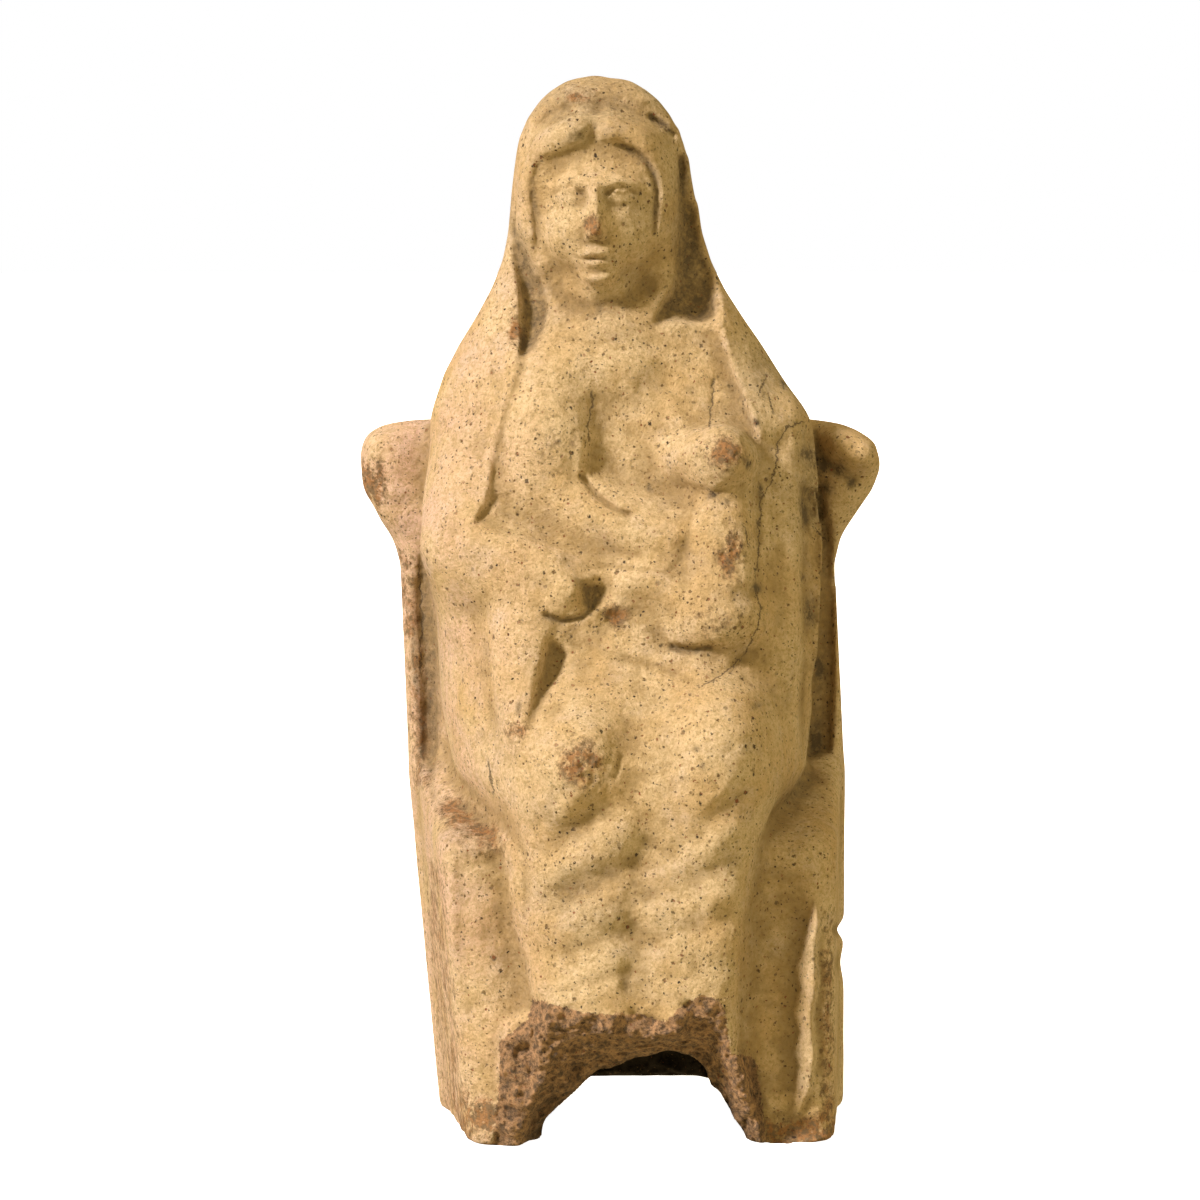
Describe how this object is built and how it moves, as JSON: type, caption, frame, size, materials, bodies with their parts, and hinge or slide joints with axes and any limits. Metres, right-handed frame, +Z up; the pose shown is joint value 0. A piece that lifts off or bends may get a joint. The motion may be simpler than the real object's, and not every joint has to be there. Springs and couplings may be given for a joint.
{
  "type": "kourotrophos figurine",
  "caption": "Mould-made fired-clay figurine of a veiled mother on a winged throne nursing a child, hollow and open below, with its lower front broken away.",
  "frame": {"origin": "on the ground under the middle of the figurine's bounding box", "axes": "+Z up along the figure, the figure faces -Y, its left hand is on the +X side"},
  "size_m": [0.0898, 0.0622, 0.1797],
  "materials": {
    "fired_clay": "matt, unglazed, worn pale slip with dark grit"
  },
  "bodies": {
    "root": {"figurine": "fired_clay"}
  },
  "joints": []
}
